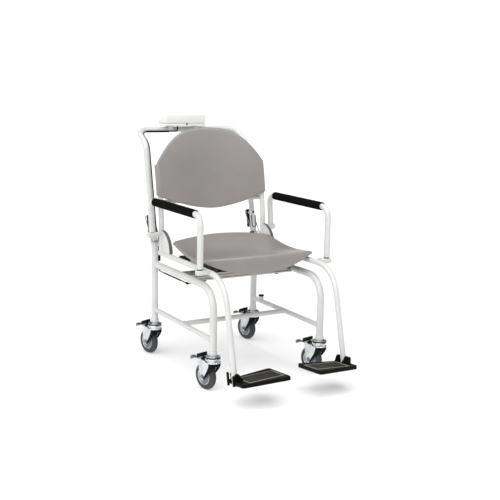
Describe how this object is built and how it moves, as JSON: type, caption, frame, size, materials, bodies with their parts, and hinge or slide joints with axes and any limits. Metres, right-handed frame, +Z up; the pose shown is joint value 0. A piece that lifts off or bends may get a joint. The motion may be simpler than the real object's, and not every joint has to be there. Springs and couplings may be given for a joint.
{
  "type": "digital chair scale",
  "caption": "Wheeled chair scale: tube frame on braked casters, moulded seat and backrest, flip-up armrests and footplates, push handle with a display.",
  "frame": {"origin": "on the floor, below the middle of the whole chair's outline", "axes": "+Z up, -Y the way the seated person faces, +X the seated person's left"},
  "size_m": [0.611, 1.0296, 1.018],
  "materials": {
    "white_paint": "white powder coat, satin",
    "grey_shell": "moulded warm grey plastic, fine grain",
    "foam": "black foam rubber, matt",
    "black_plastic": "black moulded plastic, matt",
    "chrome": "bright zinc or chrome plate",
    "tyre": "grey rubber tyre on a grey plastic hub",
    "alloy": "machined, satin",
    "housing": "off-white moulded plastic",
    "window": "clear window over a grey-green screen",
    "key": "grey rubber-feel keys",
    "cable": "black sheath"
  },
  "bodies": {
    "frame": {"push_handle": "white_paint", "rear_leg_left": "white_paint", "rear_leg_right": "white_paint", "side_rail_left": "white_paint", "side_rail_right": "white_paint", "stretcher_frame": "white_paint", "bubble_level": "black_plastic", "base_beam": "white_paint", "seat_beam": "white_paint", "seat_cross_bar": "black_plastic", "load_cell_left": "alloy", "load_cell_right": "alloy", "seat_rail_left": "white_paint", "seat_rail_right": "white_paint", "back_frame": "white_paint", "gusset_left": "white_paint", "gusset_right": "white_paint", "seat_shell": "grey_shell", "backrest_shell": "grey_shell", "latch_collar_left": "white_paint", "latch_collar_right": "white_paint", "display_tray": "housing", "display_cover": "housing", "display_lens": "window", "display_cable": "cable", "front_left_head": "chrome", "front_right_head": "chrome", "rear_left_head": "chrome", "rear_right_head": "chrome"},
    "front_left_swivel": {"front_left_fork": "chrome", "front_left_guard": "black_plastic"},
    "front_left_roller": {"front_left_wheel": "tyre"},
    "front_left_brake": {"front_left_pedal": "black_plastic"},
    "front_right_swivel": {"front_right_fork": "chrome", "front_right_guard": "black_plastic"},
    "front_right_roller": {"front_right_wheel": "tyre"},
    "front_right_brake": {"front_right_pedal": "black_plastic"},
    "rear_left_swivel": {"rear_left_fork": "chrome", "rear_left_guard": "black_plastic"},
    "rear_left_roller": {"rear_left_wheel": "tyre"},
    "rear_left_brake": {"rear_left_pedal": "black_plastic"},
    "rear_right_swivel": {"rear_right_fork": "chrome", "rear_right_guard": "black_plastic"},
    "rear_right_roller": {"rear_right_wheel": "tyre"},
    "rear_right_brake": {"rear_right_pedal": "black_plastic"},
    "armrest_left": {"armrest_tube_left": "white_paint", "armrest_grip_left": "foam", "armrest_cap_left": "black_plastic"},
    "armrest_right": {"armrest_tube_right": "white_paint", "armrest_grip_right": "foam", "armrest_cap_right": "black_plastic"},
    "footrest_left": {"footplate_left": "black_plastic"},
    "footrest_right": {"footplate_right": "black_plastic"},
    "latch_left": {"latch_lever_left": "black_plastic"},
    "bail_left": {"latch_bail_left": "chrome"},
    "latch_right": {"latch_lever_right": "black_plastic"},
    "bail_right": {"latch_bail_right": "chrome"},
    "key_1": {"display_key_1": "key"},
    "key_2": {"display_key_2": "key"},
    "key_3": {"display_key_3": "key"}
  },
  "joints": [
    {"name": "front_left_swivel_turn", "type": "hinge", "parent": "frame", "child": "front_left_swivel", "pos_m": [0.243, -0.24321, 0.1357], "axis": [0, 0, 1], "continuous": true},
    {"name": "front_left_wheel_roll", "type": "hinge", "parent": "front_left_swivel", "child": "front_left_roller", "pos_m": [0.234, -0.20423, 0.05318], "axis": [0.9744, 0.225, 0], "continuous": true},
    {"name": "front_left_brake_press", "type": "hinge", "parent": "front_left_swivel", "child": "front_left_brake", "pos_m": [0.23018, -0.18766, 0.115], "axis": [0.9744, 0.225, 0], "range_deg": [-10, 0]},
    {"name": "front_right_swivel_turn", "type": "hinge", "parent": "frame", "child": "front_right_swivel", "pos_m": [-0.243, -0.24321, 0.1357], "axis": [0, 0, 1], "continuous": true},
    {"name": "front_right_wheel_roll", "type": "hinge", "parent": "front_right_swivel", "child": "front_right_roller", "pos_m": [-0.252, -0.20423, 0.05318], "axis": [0.9744, 0.225, 0], "continuous": true},
    {"name": "front_right_brake_press", "type": "hinge", "parent": "front_right_swivel", "child": "front_right_brake", "pos_m": [-0.25582, -0.18766, 0.115], "axis": [0.9744, 0.225, 0], "range_deg": [-10, 0]},
    {"name": "rear_left_swivel_turn", "type": "hinge", "parent": "frame", "child": "rear_left_swivel", "pos_m": [0.243, 0.2888, 0.1357], "axis": [0, 0, 1], "continuous": true},
    {"name": "rear_left_wheel_roll", "type": "hinge", "parent": "rear_left_swivel", "child": "rear_left_roller", "pos_m": [0.234, 0.32777, 0.05318], "axis": [0.9744, 0.225, 0], "continuous": true},
    {"name": "rear_left_brake_press", "type": "hinge", "parent": "rear_left_swivel", "child": "rear_left_brake", "pos_m": [0.23018, 0.34434, 0.115], "axis": [0.9744, 0.225, 0], "range_deg": [-10, 0]},
    {"name": "rear_right_swivel_turn", "type": "hinge", "parent": "frame", "child": "rear_right_swivel", "pos_m": [-0.243, 0.2888, 0.1357], "axis": [0, 0, 1], "continuous": true},
    {"name": "rear_right_wheel_roll", "type": "hinge", "parent": "rear_right_swivel", "child": "rear_right_roller", "pos_m": [-0.252, 0.32777, 0.05318], "axis": [0.9744, 0.225, 0], "continuous": true},
    {"name": "rear_right_brake_press", "type": "hinge", "parent": "rear_right_swivel", "child": "rear_right_brake", "pos_m": [-0.25582, 0.34434, 0.115], "axis": [0.9744, 0.225, 0], "range_deg": [-10, 0]},
    {"name": "armrest_left_lift", "type": "hinge", "parent": "frame", "child": "armrest_left", "pos_m": [0.286, 0.22279, 0.535], "axis": [-1, 0, 0], "range_deg": [0, 100]},
    {"name": "armrest_right_lift", "type": "hinge", "parent": "frame", "child": "armrest_right", "pos_m": [-0.286, 0.22279, 0.535], "axis": [-1, 0, 0], "range_deg": [0, 100]},
    {"name": "footrest_left_fold", "type": "hinge", "parent": "frame", "child": "footrest_left", "pos_m": [0.243, -0.40872, 0.112], "axis": [0, 0.9962, -0.0872], "range_deg": [0, 87]},
    {"name": "footrest_right_fold", "type": "hinge", "parent": "frame", "child": "footrest_right", "pos_m": [-0.243, -0.40872, 0.112], "axis": [0, -0.9962, 0.0872], "range_deg": [0, 87]},
    {"name": "latch_left_open", "type": "hinge", "parent": "frame", "child": "latch_left", "pos_m": [0.243, 0.34555, 0.58161], "axis": [1, 0, 0], "range_deg": [0, 85]},
    {"name": "bail_left_swing", "type": "hinge", "parent": "latch_left", "child": "bail_left", "pos_m": [0.243, 0.34808, 0.59334], "axis": [1, 0, 0], "range_deg": [-95.2, 0]},
    {"name": "latch_right_open", "type": "hinge", "parent": "frame", "child": "latch_right", "pos_m": [-0.243, 0.34555, 0.58161], "axis": [1, 0, 0], "range_deg": [0, 85]},
    {"name": "bail_right_swing", "type": "hinge", "parent": "latch_right", "child": "bail_right", "pos_m": [-0.243, 0.34808, 0.59334], "axis": [1, 0, 0], "range_deg": [-95.2, 0]},
    {"name": "key_1_press", "type": "slide", "parent": "frame", "child": "key_1", "axis": [0, 0.3536, 0.9354], "range_m": [-0.0012, 0], "stiffness_N_per_m": 250},
    {"name": "key_2_press", "type": "slide", "parent": "frame", "child": "key_2", "axis": [0, 0.3536, 0.9354], "range_m": [-0.0012, 0], "stiffness_N_per_m": 250},
    {"name": "key_3_press", "type": "slide", "parent": "frame", "child": "key_3", "axis": [0, 0.3536, 0.9354], "range_m": [-0.0012, 0], "stiffness_N_per_m": 250}
  ],
  "couplings": [
    {"joint": "bail_left_swing", "follows": "latch_left_open", "ratio": -1.12},
    {"joint": "bail_right_swing", "follows": "latch_right_open", "ratio": -1.12}
  ]
}
